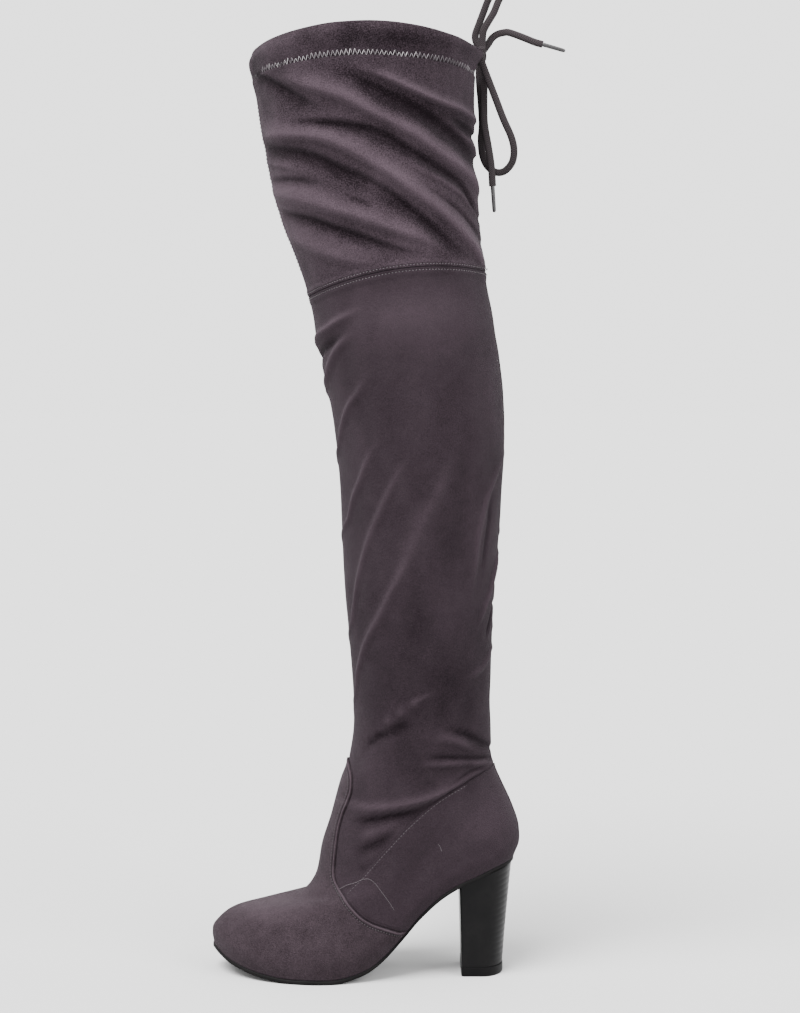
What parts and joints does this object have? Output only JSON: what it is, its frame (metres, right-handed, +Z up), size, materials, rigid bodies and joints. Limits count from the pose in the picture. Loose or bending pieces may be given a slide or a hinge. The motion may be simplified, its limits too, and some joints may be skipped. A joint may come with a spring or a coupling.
{
  "type": "thigh high boot",
  "caption": "Thigh high block-heeled boot with a stretch shaft, a knee seam and a drawstring casing tied in a bow at the back.",
  "frame": {"origin": "middle of the heel's underside, on the ground", "axes": "+Z up along the leg, the toe points along -X, the outer side of the left foot faces -Y"},
  "size_m": [0.2657, 0.1506, 0.7386],
  "materials": {
    "suede": "dark taupe-grey microsuede, matte with a soft nap",
    "lining": "plain dark insole cloth",
    "sole_rubber": "thin black sheet, satin",
    "heel_cover": "black, stacked look, low gloss",
    "wearing_rubber": "black, matte",
    "lace": "dark grey flat braid",
    "lace_tip": "dark grey plastic tip"
  },
  "bodies": {
    "root": {"outsole": "sole_rubber", "insole": "lining", "heel": "heel_cover", "top_piece": "wearing_rubber", "upper": "suede", "vamp": "suede", "counter": "suede", "thigh_panel": "suede", "drawstring_casing": "suede", "lace_knot": "lace", "lace_loop_upper": "lace", "lace_loop_lower": "lace", "lace_end_side": "lace", "lace_end_lower": "lace", "aglet_side": "lace_tip", "aglet_lower": "lace_tip"}
  },
  "joints": []
}
